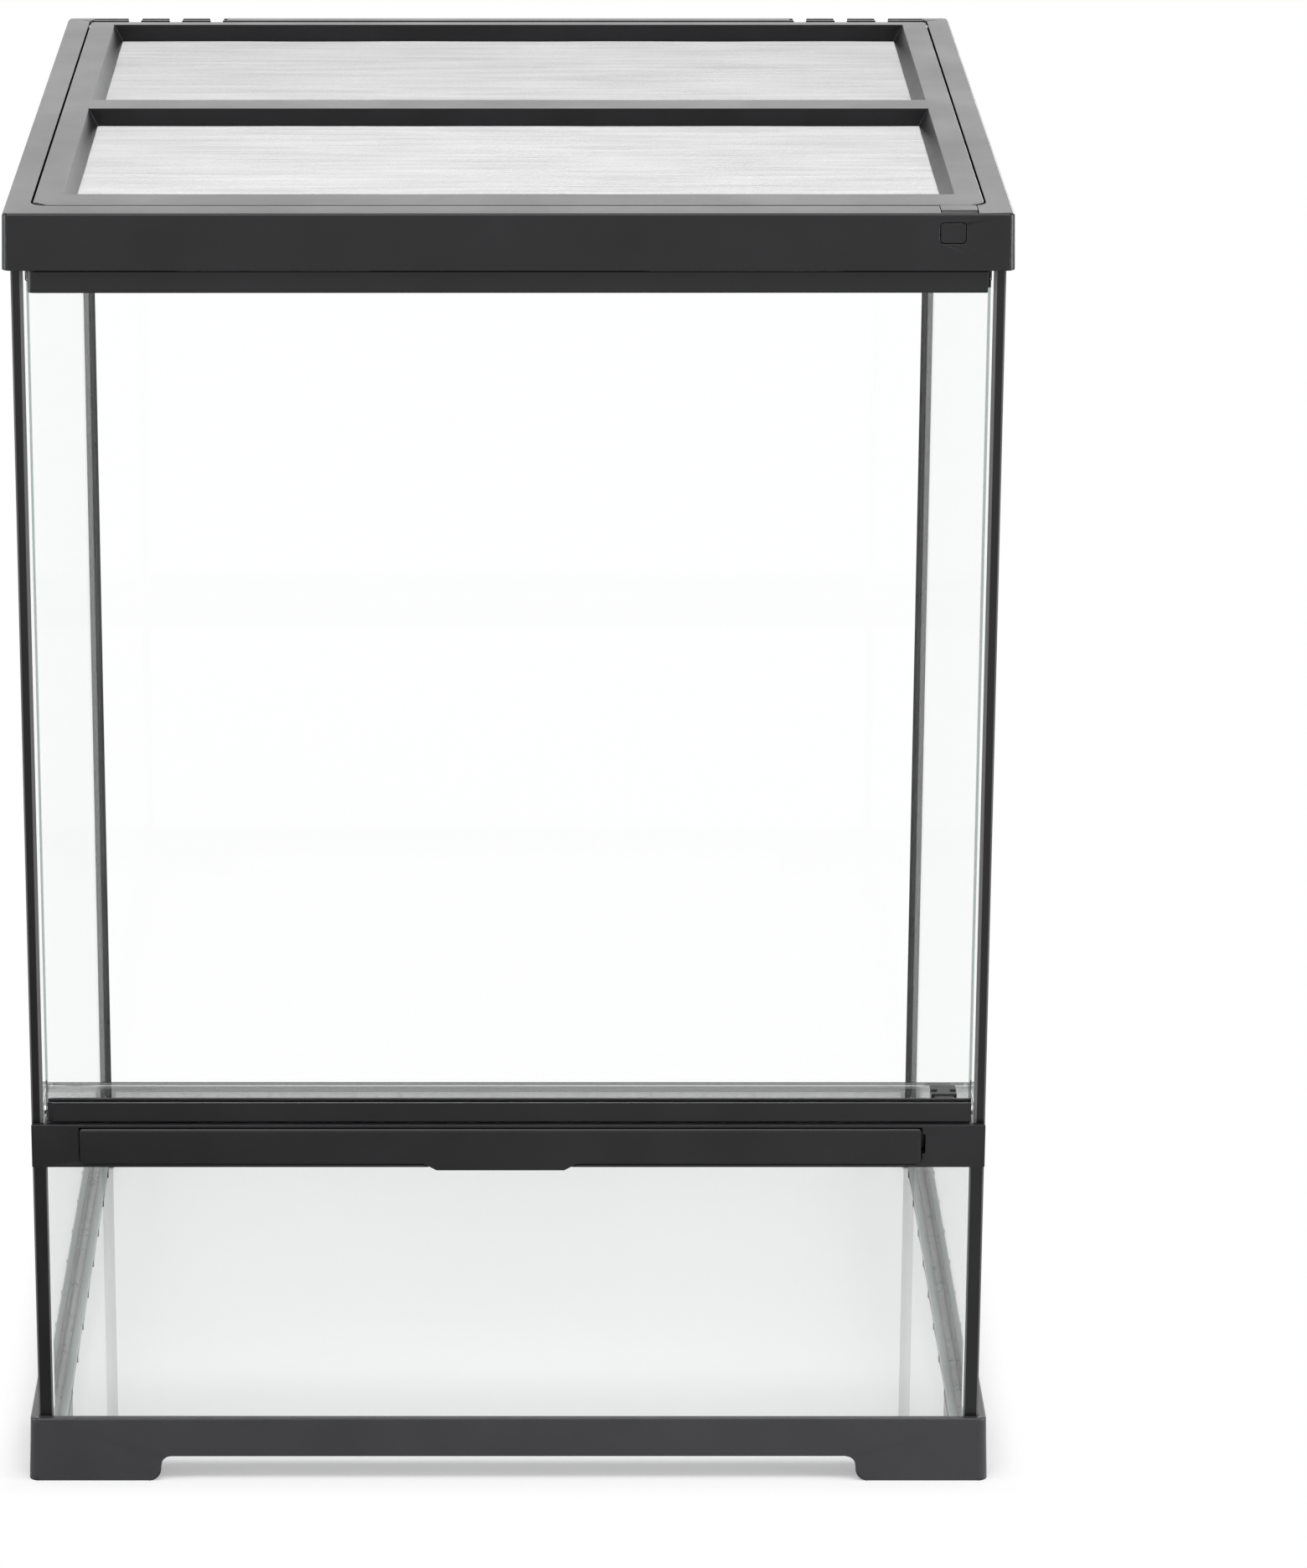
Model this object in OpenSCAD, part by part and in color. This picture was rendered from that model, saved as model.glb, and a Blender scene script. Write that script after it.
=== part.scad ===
// Front-opening glass terrarium on a raised base, with a hinged screen lid.
// Millimetres. X runs to the right, Y to the back, Z up.
// The origin is on the floor, under the middle of the tank.

/* [Glass box] */
// Width across the outsides of the side panes
tank_w = 447; // [380:1:600]
// Depth across the outsides of the front and back panes
tank_d = 447; // [380:1:600]
// Thickness of the fixed panes
glass_t = 5; // [4:0.5:8]
// Gap between the floor pane and the upright panes, filled with sealant
floor_joint = 0.5; // [0.2:0.1:0.9]
// Width of the sealant joint beside the lower front pane
front_joint = 2; // [1:0.5:4]
// Leg of the sealant fillets in the inside corners
bead_leg = 3; // [1.5:0.5:5]
// Thickness of the black strip on the front edge of a side pane
strip_t = 0.6; // [0.4:0.1:1.2]

/* [Heights] */
// Overall height
total_h = 616.5; // [520:0.5:900]
// Height of the base frame
base_h = 31.5; // [28:0.5:45]
// Height of the bare lower window, from the base frame to the front bar
window_h = 128.1; // [90:0.1:200]
// Height of the front bar
bar_h = 21.3; // [20:0.1:26]
// Height of the top frame
top_h = 26; // [24:0.5:34]
// Gap above and below the door
door_gap = 0.7; // [0.5:0.1:1.5]

/* [Base frame] */
// How far the frames stand out from the glass at their thinnest
lip = 3.8; // [3:0.1:6]
// How much wider the base is at its foot than at its top, each side
base_draft = 1.2; // [0:0.1:2.5]
// Height of the arches between the feet
arch_h = 12.5; // [8:0.5:13]
// Length of a foot along each side
foot_len = 63; // [45:1:90]
// Width of the foot, inwards from the glass line
foot_w = 12; // [9:0.5:20]
// Wall thickness of the foot
foot_wall = 2.5; // [2:0.1:4]
// Radius at the top corners of an arch
arch_r = 5; // [3:0.5:8]
// Radius where a foot meets the floor
foot_r = 6; // [3:0.5:8]
// Height of the ledge that carries the panes
ledge_z = 17; // [16:0.5:20]
// Thickness of that ledge
ledge_t = 2.5; // [2:0.1:3.5]
// How far the ledge reaches in past the inner face of the panes
ledge_w = 6.5; // [4:0.5:12]
// Distance between the ribs on the ledge
rib_pitch = 41; // [25:1:60]
// Thickness of a rib
rib_t = 1; // [0.8:0.1:3]
// How far a rib stands in from the ledge
rib_out = 0.5; // [0.3:0.1:4]
// Height of a rib
rib_h = 4; // [3:0.5:4.5]

/* [Top frame] */
// How much narrower the top frame is at its top than at its foot, each side
top_draft = 0.9; // [0:0.1:2]
// Width of the top rim at the sides
rim_side = 11.2; // [10:0.1:16]
// Width of the top rim at the front
rim_front = 16.4; // [15:0.1:24]
// Width of the top rim at the back
rim_back = 7; // [6.5:0.1:12]
// Gap round the lid
seam = 1; // [0.6:0.1:2]
// How far the panes reach up into the top frame
pane_seat = 13; // [8:0.5:13.5]
// Width of the flange inside the panes
flange_t = 3.3; // [2:0.1:4]
// Height of that flange below the top of the panes
flange_h = 10; // [5:0.5:13]
// How far the lid seat reaches in past the rim
seat_w = 7; // [5:0.5:10]
// Thickness of the lid seat
seat_t = 3; // [2:0.1:4]
// Thickness of the plate over the front rail
roof_t = 3.5; // [2.5:0.1:5]
// Depth of the door stop lip below the top frame
stop_drop = 7; // [4:0.5:9]
// Thickness of the door stop lip
stop_t = 3.2; // [2:0.1:4]
// Distance from the middle to the start of a gap in the stop lip
light_start = 63.5; // [40:0.5:80]
// Distance from the side of the tank to the end of that gap
light_inset = 74; // [50:0.5:90]
// Height of that gap above the foot of the top frame
light_h = 7; // [4:0.5:10]

/* [Door] */
// Thickness of the door pane
door_t = 4; // [3:0.5:4.5]
// Thickness of the door rails
rail_t = 8; // [7:0.5:9]
// Height of the lower door rail
low_rail_h = 9.5; // [9:0.1:14]
// Height of the upper door rail
high_rail_h = 10; // [9:0.1:14]
// Solid part of a rail, beyond the pane's groove
rail_web = 4; // [3:0.1:5]
// Gap between the door and the side panes' strips
door_side_gap = 1.1; // [0.8:0.1:2]
// How far the door's front face lies behind the bar's front face
door_set_back = 2; // [1.5:0.1:3]
// Radius of the door's hinge pins
pin_r = 1.5; // [1:0.1:1.8]
// How far the pins reach into the bar and the top frame
pin_reach = 8; // [5:0.5:10]
// Height of the bumper on the free end of the upper rail
bumper_h = 7.8; // [5:0.1:8.5]

/* [Front bar and latch] */
// Thickness of the bar's face in front of the panes
bar_face_t = 3.3; // [3.1:0.1:4]
// How far the lower front pane reaches up into the bar
bar_seat = 5.5; // [3:0.5:7]
// Depth of the shelf that carries the glass ledge
shelf_w = 9; // [6:0.5:14]
// Thickness of that shelf
shelf_t = 3; // [2:0.1:4]
// Depth of the glass ledge behind the bar
glass_ledge_w = 31.5; // [28:0.5:60]
// Distance from the left side of the tank to the latch flap
flap_left = 22.5; // [18:0.5:40]
// Distance from the right side of the tank to the latch flap
flap_right = 30; // [26:0.5:50]
// Height of the latch flap
flap_h = 17.7; // [16:0.1:17.9]
// Thickness of the latch flap
flap_t = 2.2; // [1.8:0.1:2.4]
// Radius of the latch flap's corners
flap_r = 2.5; // [1.5:0.1:4]
// How far the flap stands out from the bar
flap_proud = 0.4; // [0:0.1:1]
// Radius of the roll along the flap's top edge
roll_r = 1.9; // [1.6:0.05:2]
// Radius of the flap's pivots
pivot_r = 0.8; // [0.6:0.05:1]
// Length of a pivot in its hole
pivot_len = 3; // [2:0.5:5]
// Width of the pull tab at its foot
tab_w = 60; // [40:1:80]
// How much wider the tab is where it leaves the flap, each side
tab_flare = 6; // [3:0.5:10]
// How far the tab hangs below the flap
tab_drop = 3.3; // [2.5:0.1:6]
// Width of the release slot at the right end of the flap
release_w = 1.6; // [1:0.1:2.5]
// Height of the release slot
release_h = 9.7; // [6:0.1:10]

/* [Catch] */
// Distance from the right side of the tank to the middle of the door catch
catch_inset = 18.5; // [16:0.5:26]
// Width of the catch block, and its depth
catch_w = 12; // [9:0.5:14]
// Height of the catch block
catch_h = 4.1; // [3:0.1:6]
// How far behind the door rail the catch block stands
catch_back = 7.7; // [5:0.1:10]
// Width of the striker on the door
striker_w = 9; // [6:0.5:11]
// Thickness of the striker
striker_t = 3; // [2:0.1:3.5]

/* [Lid] */
// Thickness of the lid
lid_t = 11; // [9:0.5:12]
// Width of the lid's side rims on top
lid_side = 12; // [9:0.5:18]
// How far the side rims slope in from the top to the mesh
lid_slope = 4.5; // [2:0.5:7]
// Width of the lid's front rim
lid_front = 22.7; // [18:0.1:30]
// Width of the crossbar
cross_w = 20.3; // [17:0.1:30]
// How far the crossbar's middle lies behind the middle of the tank
cross_y = 11.3; // [-20:0.1:30]
// Width of the lid's back rim
lid_back = 9.8; // [9.6:0.1:16]
// Depth from the top of the lid down to the mesh
mesh_drop = 8.5; // [6:0.1:8.8]
// Thickness of the mesh
mesh_t = 0.8; // [0.5:0.1:1.2]
// How far the mesh reaches under the rims
mesh_lap = 4.7; // [3:0.1:4.8]
// Openings in the mesh from side to side
mesh_cells = 12; // [4:1:12]
// Share of the mesh that is open
mesh_open = 0.5; // [0.4:0.01:0.54]
// Radius of the lid's front corners
lid_r = 7; // [4:0.5:12]
// Radius of the back corners of the opening that the lid lies in
back_r = 2.4; // [1.7:0.1:2.4]
// Radius of the round back edge that turns on the hinge pins
hinge_r = 3; // [2.7:0.1:3.5]
// Wall thickness of the hollow underside
lid_wall = 2.4; // [1.8:0.1:2.6]
// Distance between the ribs under the front rim and the crossbar
lid_rib_pitch = 42; // [30:1:80]
// How far the lid's hinge pins reach into the rim
lid_pin_reach = 5; // [3:0.5:8]

/* [Lid lock] */
// Distance from the right side of the tank to the middle of the hasp
hasp_inset = 21.3; // [20:0.1:30]
// Width of the hasp
hasp_w = 16.4; // [12:0.1:18]
// Thickness of the hasp's top
hasp_t = 3.5; // [2.5:0.1:4]
// Bevel along the hasp's front edge
hasp_bevel = 1.3; // [0.5:0.1:1.8]
// Length of the finger slot in front of the hasp
finger_gap = 4.4; // [4.2:0.1:5]
// Distance from the front face to the finger slot
finger_edge = 1.8; // [1.5:0.1:2.5]
// Thickness of the hasp's leg
leg_t = 2.2; // [1.6:0.1:3]
// Length of the hasp's leg
leg_len = 9.5; // [6:0.5:11]
// Distance from the right side of the tank to the middle of the button
button_inset = 24.4; // [22:0.1:34]
// Width of the button
button_w = 11.3; // [8:0.1:14]
// Height of the button
button_h = 9.2; // [7:0.1:10]
// Distance from the top of the frame to the middle of the button
button_drop = 8.9; // [8.5:0.1:10]
// Depth of the button
button_d = 4.4; // [3.5:0.1:4.4]
// Radius of the button's corners
button_r = 1.5; // [0.8:0.1:2.5]

/* [Cable ports] */
// Number of ports on each side
ports = 3; // [1:1:3]
// Distance between the ports
port_pitch = 21; // [18:0.5:21]
// Distance from the side of the tank to the outermost port
port_inset = 31.5; // [30:0.5:45]
// Width of a port
port_w = 7; // [5:0.5:7.5]
// Height of the port
port_h = 9.5; // [7:0.5:9.8]
// Thickness of the port slider
slider_t = 2; // [1.5:0.1:2.2]
// Width of a slider tooth
tooth_w = 9.2; // [8:0.1:10]
// How far a tooth stays below the rim
tooth_low = 1.7; // [1:0.1:3]
// Height of the strip that joins the teeth
strip_h = 2.6; // [2:0.1:3.5]
// Width of the slider's thumb nub
nub_w = 5; // [3:0.5:7]
// Wall between the lid opening and the slider's groove
groove_wall = 1.8; // [1.2:0.1:2]

/* [Fits] */
// Gap between a pane and its channel
seat_gap = 0.2; // [0.1:0.05:0.3]
// Gap that keeps moving pieces clear of fixed ones
play = 0.3; // [0.25:0.05:0.45]
// Radial clearance of a pin that turns in its hole
run_fit = 0.06; // [0.02:0.01:0.09]
// Radial clearance of a pin that is fixed in its hole
fixed_fit = 0.02; // [0.01:0.01:0.03]

/* [Hidden] */
$fn = 48;

// Overshoot of a cut past the face that it opens
over = 1;

// Half sizes of the glass box, outside and inside
half_w = tank_w / 2;
half_d = tank_d / 2;
in_w = half_w - glass_t;
in_d = half_d - glass_t;

// Heights
bar_z = base_h + window_h;
bar_top = bar_z + bar_h;
top_z = total_h - top_h;
pane_top = top_z + pane_seat;
web_z = pane_top + play;
floor_top = ledge_z + glass_t;

// Frame faces
lip_top = lip - top_draft;
frame_front = -half_d - lip_top;
frame_side = half_w + lip_top;
frame_back = half_d + lip_top;
bar_front = -half_d - bar_face_t - seat_gap;

// Lid opening and lid outline
open_x = frame_side - rim_side;
open_y0 = frame_front + rim_front;
open_y1 = frame_back - rim_back;
lid_x = open_x - seam;
lid_y0 = open_y0 + seam;
lid_y1 = open_y1 - seam;
lid_z = total_h - lid_t;
seat_top = lid_z - play;
hinge_y = lid_y1 - hinge_r;
hinge_z = total_h - hinge_r;

// Lid windows
win_x = lid_x - lid_side;
mesh_x = win_x - lid_slope;
mesh_top = total_h - mesh_drop;
mesh_z = mesh_top - mesh_t;
front_y0 = lid_y0 + lid_front;
front_y1 = cross_y - cross_w / 2;
rear_y0 = cross_y + cross_w / 2;
rear_y1 = lid_y1 - lid_back;

// Door
door_y = bar_front + door_set_back + rail_t / 2;
door_x0 = -in_w + strip_t + door_side_gap;
door_x1 = in_w - strip_t - door_side_gap;
door_pin_x = door_x0 + rail_t / 2;
door_z0 = bar_top + door_gap;
door_z1 = top_z - door_gap;
pane_z0 = door_z0 + rail_web;
pane_z1 = door_z1 - rail_web;
bore_r = pin_r + run_fit;
seat_r = pin_r + fixed_fit;

// Front bar
bar_inner = -in_d + seat_gap + flange_t;
shelf_y = bar_inner + shelf_w;
ledge_y0 = bar_inner + play;
body_x = in_w - strip_t - play;

// Latch flap
flap_x0 = -half_w + flap_left;
flap_x1 = half_w - flap_right;
flap_mid = (flap_x0 + flap_x1) / 2;
flap_len = flap_x1 - flap_x0;
flap_z1 = bar_top - (bar_h - flap_h) / 2;
flap_z0 = flap_z1 - flap_h;
flap_front = bar_front - flap_proud;
roll_y = flap_front + roll_r;
roll_z = flap_z1 - roll_r;

// Lock
hasp_x = half_w - hasp_inset;
hasp_y = frame_front + finger_edge + finger_gap;
button_x = half_w - button_inset;
button_z = total_h - button_drop;
button_front = frame_front - top_draft * button_drop / top_h;

// Cable ports
port_x1 = half_w - port_inset;
port_x0 = port_x1 - (ports - 1) * port_pitch;
groove_y = open_y1 + groove_wall;
groove_w = slider_t + 2 * play;
groove_z = total_h - port_h - strip_t;
slide_travel = port_pitch / 2;

plastic = [0.2, 0.2, 0.21];
clear = [0.8, 0.88, 0.86, 0.35];
sealant = [0.1, 0.1, 0.1];
steel = [0.7, 0.7, 0.72];

// ---------------------------------------------------------------- helpers

// Box from one corner to the opposite one
module block(low, high) {
  translate(low) cube(high - low);
}

// Rectangle with round corners
module round_rect(w, h, r) {
  square([w - 2 * r, h], center = true);
  square([w, h - 2 * r], center = true);
  for (sx = [-1, 1], sy = [-1, 1])
    translate([sx * (w / 2 - r), sy * (h / 2 - r)]) circle(r);
}

// Sweeps a profile round the tank: x is the distance out from the glass, y is the height
module wall_round_tank() {
  for (s = [0, 1]) mirror([s, 0, 0])
    translate([half_w, 0, 0]) rotate([90, 0, 0])
      linear_extrude(height = tank_d, center = true) children();
  for (s = [0, 1]) mirror([0, s, 0])
    translate([0, half_d, 0]) rotate([90, 0, 90])
      linear_extrude(height = tank_w, center = true) children();
  for (a = [0 : 90 : 270]) {
    cx = (a == 0 || a == 270) ? half_w : -half_w;
    cy = (a == 0 || a == 90) ? half_d : -half_d;
    translate([cx, cy, 0]) rotate([0, 0, a]) rotate_extrude(angle = 90) children();
  }
}

// Flat ring between two centred rectangles given by half sizes
module flat_ring(outer_x, outer_y, inner_x, inner_y, z, t) {
  translate([0, 0, z]) linear_extrude(height = t) difference() {
    square([2 * outer_x, 2 * outer_y], center = true);
    square([2 * inner_x, 2 * inner_y], center = true);
  }
}

// Bar along X with its cross-section drawn in Y and Z
module along_x(x0, x1) {
  translate([x0, 0, 0]) rotate([90, 0, 90]) linear_extrude(height = x1 - x0) children();
}

// Bar along Y with its cross-section drawn in X and Z
module along_y(y0, y1) {
  translate([0, y1, 0]) rotate([90, 0, 0]) linear_extrude(height = y1 - y0) children();
}

// Round bar along X
module rod_x(x0, x1, y, z, r) {
  translate([x0, y, z]) rotate([0, 90, 0]) cylinder(h = x1 - x0, r = r);
}

// Cross-section of a sealant fillet, with its corner at the origin
module fillet(leg) {
  difference() {
    square(leg);
    translate([leg, leg]) circle(leg);
  }
}

// ---------------------------------------------------------------- base

// Opening between two feet, drawn from the floor up
module arch(span) {
  translate([-span / 2, -over]) square([span, arch_h - arch_r + over]);
  translate([-span / 2 + arch_r, -over]) square([span - 2 * arch_r, arch_h + over]);
  for (s = [0, 1]) mirror([s, 0]) {
    translate([span / 2 - arch_r, arch_h - arch_r]) circle(arch_r);
    translate([span / 2, 0]) difference() {
      translate([0, -over]) square([foot_r, foot_r + over]);
      translate([foot_r, foot_r]) circle(foot_r);
    }
  }
}

// Ribs along one inner edge of the ledge, which runs along Y at x = edge
module ledge_ribs(edge, length) {
  count = floor((length / 2 - rib_pitch / 2) / rib_pitch);
  for (i = [-count : count])
    block([edge - rib_out, i * rib_pitch - rib_t / 2, ledge_z - rib_h],
          [edge + over, i * rib_pitch + rib_t / 2, ledge_z - seat_gap]);
}

// L-shaped foot under one corner, a shell that is open below
module corner_foot() {
  end_x = half_w + lip + base_draft - foot_len;
  end_y = half_d + lip + base_draft - foot_len;
  in_x = half_w - foot_w;
  in_y = half_d - foot_w;
  // Plan of the foot, inset at its inner edges and reaching out past the glass line
  module plan(inset, reach) {
    polygon([
      [end_x + inset, half_d + reach], [end_x + inset, in_y + inset],
      [in_x + inset, in_y + inset], [in_x + inset, end_y + inset],
      [half_w + reach, end_y + inset], [half_w + reach, half_d + reach]
    ]);
  }
  difference() {
    linear_extrude(height = ledge_z - ledge_t) plan(0, 2 * seat_gap);
    translate([0, 0, -over]) linear_extrude(height = ledge_z - ledge_t + over)
      plan(foot_wall, 0);
  }
}

module base_frame() {
  color(plastic) difference() {
    union() {
      wall_round_tank() polygon([
        [seat_gap, 0], [lip + base_draft, 0], [lip + seat_gap, base_h - 0.8],
        [lip - 0.5, base_h], [seat_gap, base_h]
      ]);
      flat_ring(half_w + lip / 2, half_d + lip / 2, in_w - ledge_w, in_d - ledge_w,
                ledge_z - ledge_t, ledge_t);
      for (s = [0, 1]) mirror([s, 0, 0]) ledge_ribs(in_w - ledge_w, 2 * in_d);
      for (s = [0, 1]) mirror([0, s, 0])
        rotate([0, 0, 90]) ledge_ribs(in_d - ledge_w, 2 * in_w);
      for (sx = [0, 1], sy = [0, 1])
        mirror([sx, 0, 0]) mirror([0, sy, 0]) corner_foot();
    }
    foot_edge_w = 2 * (half_w + lip + base_draft - foot_len);
    foot_edge_d = 2 * (half_d + lip + base_draft - foot_len);
    along_y(-half_d - 3 * lip, half_d + 3 * lip) arch(foot_edge_w);
    along_x(-half_w - 3 * lip, half_w + 3 * lip) arch(foot_edge_d);
  }
}

// ---------------------------------------------------------------- glass

module floor_glass() {
  color(clear)
    block([-in_w + floor_joint, -in_d + floor_joint, ledge_z],
          [in_w - floor_joint, in_d - floor_joint, floor_top]);
}

module back_glass() {
  color(clear) block([-in_w, in_d, ledge_z], [in_w, half_d, pane_top]);
}

module side_glass() {
  color(clear) block([in_w, -half_d + strip_t, ledge_z], [half_w, half_d, pane_top]);
}

module left_glass() {
  mirror([1, 0, 0]) side_glass();
}

module right_glass() {
  side_glass();
}

module lower_front_glass() {
  color(clear)
    block([-in_w + front_joint, -half_d, ledge_z],
          [in_w - front_joint, -in_d, bar_z + bar_seat]);
}

module glass_ledge() {
  color(clear)
    block([-in_w + play, ledge_y0, bar_top],
          [in_w - play, ledge_y0 + glass_ledge_w, bar_top + glass_t]);
}

// Strip over the front edge of a side pane, and the joint beside the lower front pane
module front_bead() {
  color(sealant) {
    block([in_w - strip_t, -half_d, bar_z + bar_seat], [half_w, -half_d + strip_t, pane_top]);
    block([in_w - front_joint, -half_d, ledge_z], [half_w, -half_d + strip_t, bar_z + bar_seat]);
    block([in_w - front_joint, -half_d, ledge_z], [in_w, -in_d, bar_z + bar_seat]);
  }
}

module left_front_bead() {
  mirror([1, 0, 0]) front_bead();
}

module right_front_bead() {
  front_bead();
}

// Upright fillet in the corner between the back pane and a side pane
module back_bead() {
  color(sealant) translate([in_w, in_d, floor_top]) rotate([0, 0, 180])
    linear_extrude(height = pane_top - flange_h - play - floor_top) fillet(bead_leg);
}

module left_back_bead() {
  mirror([1, 0, 0]) back_bead();
}

module right_back_bead() {
  back_bead();
}

// Fillets between the floor pane and the upright panes
module floor_beads() {
  run_x = in_w - front_joint - bead_leg - play;
  run_y = in_d - bead_leg - play;
  color(sealant) {
    for (s = [0, 1]) mirror([s, 0, 0])
      along_y(-run_y, run_y) translate([in_w, floor_top]) mirror([1, 0]) fillet(bead_leg);
    for (s = [0, 1]) mirror([0, s, 0])
      along_x(-run_x, run_x) translate([in_d, floor_top]) mirror([1, 0]) fillet(bead_leg);
  }
}

// ---------------------------------------------------------------- front bar and latch

// Half the pull tab's width at a height above the flap's lower edge
function tab_half(z, grow) =
  tab_w / 2 + tab_flare * (1 + z / tab_drop) + grow * norm([1, tab_flare / tab_drop]);

// Outline of the latch flap, seen from the front
module flap_outline(grow) {
  translate([flap_mid, (flap_z0 + flap_z1) / 2])
    round_rect(flap_len + 2 * grow, flap_h + 2 * grow, flap_r + grow);
  root_half = tab_half(over, grow);
  tip_half = tab_half(-tab_drop - grow, grow);
  polygon([
    [flap_mid - root_half, flap_z0 + over], [flap_mid - tip_half, flap_z0 - tab_drop - grow],
    [flap_mid + tip_half, flap_z0 - tab_drop - grow], [flap_mid + root_half, flap_z0 + over]
  ]);
}

module front_bar() {
  release_z0 = roll_z - pivot_r - play - release_h;
  release_x0 = flap_x1 + play - over / 10;
  color(plastic) difference() {
    union() {
      block([-half_w, bar_front, bar_z], [half_w, -half_d - seat_gap, bar_top]);
      along_x(-body_x, body_x) polygon([
        [-half_d - seat_gap - over, bar_z + bar_seat + seat_gap],
        [-in_d + seat_gap, bar_z + bar_seat + seat_gap],
        [-in_d + seat_gap, bar_z], [bar_inner, bar_z],
        [bar_inner, bar_top - shelf_t - 2], [bar_inner + 2, bar_top - shelf_t],
        [shelf_y, bar_top - shelf_t], [shelf_y, bar_top],
        [-half_d - seat_gap - over, bar_top]
      ]);
    }
    // Pocket for the flap, and the deeper groove for its roll
    along_y(bar_front - over, flap_front + flap_t + play) flap_outline(play);
    along_x(flap_x0 - play, flap_x1 + play) {
      translate([roll_y, roll_z]) circle(roll_r + play);
      translate([bar_front - over, roll_z - roll_r - play])
        square([roll_y - bar_front + over, 2 * (roll_r + play)]);
    }
    // Holes for the flap's pivots
    rod_x(flap_x0 - play - pivot_len - play, flap_x0, roll_y, roll_z, pivot_r + run_fit);
    rod_x(flap_x1, flap_x1 + play + release_w + pivot_len + play, roll_y, roll_z,
          pivot_r + run_fit);
    // Release slot at the flap's right end
    block([release_x0, bar_front - over, release_z0],
          [flap_x1 + play + release_w, -in_d - seat_gap, release_z0 + release_h]);
    // Hole for the door's lower pin
    translate([door_pin_x, door_y, bar_top - pin_reach - play])
      cylinder(h = pin_reach + play + over, r = bore_r);
  }
}

module latch_flap() {
  color(plastic) {
    intersection() {
      along_y(flap_front - over, roll_y + roll_r + over) flap_outline(0);
      along_x(flap_x0, flap_x1) {
        translate([roll_y, roll_z]) circle(roll_r);
        translate([flap_front, flap_z0 - tab_drop])
          square([flap_t, roll_z - flap_z0 + tab_drop]);
      }
    }
    rod_x(flap_x0 - play - pivot_len, flap_x0 + over, roll_y, roll_z, pivot_r);
    rod_x(flap_x1 - over, flap_x1 + play + release_w + pivot_len, roll_y, roll_z, pivot_r);
  }
}

module door_catch() {
  x = half_w - catch_inset;
  y = door_y + rail_t / 2 + catch_back;
  z = bar_top + glass_t;
  notch = catch_w / 4;
  color(plastic) difference() {
    block([x - catch_w / 2, y, z], [x + catch_w / 2, y + catch_w, z + catch_h]);
    for (s = [-1, 1])
      translate([x + s * (catch_w - notch) / 2, y + notch, z + catch_h / 2])
        linear_extrude(height = catch_h)
          translate([-notch / 2 - over / 2 + s * over / 2, 0]) square([notch + over, notch]);
  }
}

// ---------------------------------------------------------------- door

// Plan of a door rail: round at the hinge, square at the free end
module rail_plan(x1) {
  translate([door_pin_x, door_y]) circle(rail_t / 2);
  translate([door_pin_x, door_y - rail_t / 2]) square([x1 - door_pin_x, rail_t]);
}

// Groove that holds the pane, between two heights
module pane_groove(z0, z1) {
  groove = door_t + 2 * seat_gap;
  block([door_x0 - over, door_y - groove / 2, z0], [door_x1 + over, door_y + groove / 2, z1]);
}

module door_glass() {
  color(clear)
    block([door_x0 + seat_gap, door_y - door_t / 2, pane_z0],
          [door_x1, door_y + door_t / 2, pane_z1]);
}

module door_bottom_rail() {
  color(plastic) difference() {
    translate([0, 0, door_z0]) linear_extrude(height = low_rail_h) rail_plan(door_x1);
    pane_groove(pane_z0, door_z0 + low_rail_h + over);
    translate([door_pin_x, door_y, door_z0 - over])
      cylinder(h = rail_web + over, r = seat_r);
  }
}

module door_top_rail() {
  bumper_t = rail_t / 2 - door_t / 2 - seat_gap;
  bumper_mid = door_y + rail_t / 2 - bumper_t / 2;
  rail_mid = door_z1 - high_rail_h / 2;
  color(plastic) {
    difference() {
      translate([0, 0, door_z1 - high_rail_h])
        linear_extrude(height = high_rail_h) rail_plan(door_x1 - 1.4);
      pane_groove(door_z1 - high_rail_h - over, pane_z1);
      translate([door_pin_x, door_y, pane_z1]) cylinder(h = rail_web + over, r = seat_r);
    }
    // Bumper that meets the side pane's strip
    along_x(door_x1 - 2 * bumper_t, door_x1 + door_side_gap / 3)
      translate([bumper_mid, rail_mid]) round_rect(bumper_t, bumper_h, bumper_t / 3);
  }
}

module door_hinge_pins() {
  color(steel) {
    translate([door_pin_x, door_y, bar_top - pin_reach])
      cylinder(h = pin_reach + door_gap + rail_web - seat_gap, r = pin_r);
    translate([door_pin_x, door_y, pane_z1 + seat_gap])
      cylinder(h = rail_web - seat_gap + door_gap + pin_reach, r = pin_r);
  }
}

module door_striker() {
  x = half_w - catch_inset;
  z = bar_top + glass_t + (catch_h - striker_t) / 2;
  y = door_y + rail_t / 2;
  color(plastic)
    block([x - striker_w / 2, y, z], [x + striker_w / 2, y + catch_back - play, z + striker_t]);
}

// ---------------------------------------------------------------- top frame

// Everything of the rim that lies over the glass box, between two heights
module rim_plan() {
  difference() {
    square([2 * (half_w + seat_gap + over), 2 * (half_d + seat_gap + over)], center = true);
    lid_hole();
  }
}

// Outline of the opening that the lid lies in
module lid_hole() {
  open_d = open_y1 - open_y0;
  translate([0, (open_y0 + open_y1) / 2])
    round_rect(2 * open_x, open_d, lid_r + seam);
  translate([0, open_y1 - open_d / 4]) round_rect(2 * open_x, open_d / 2, back_r);
}

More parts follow.
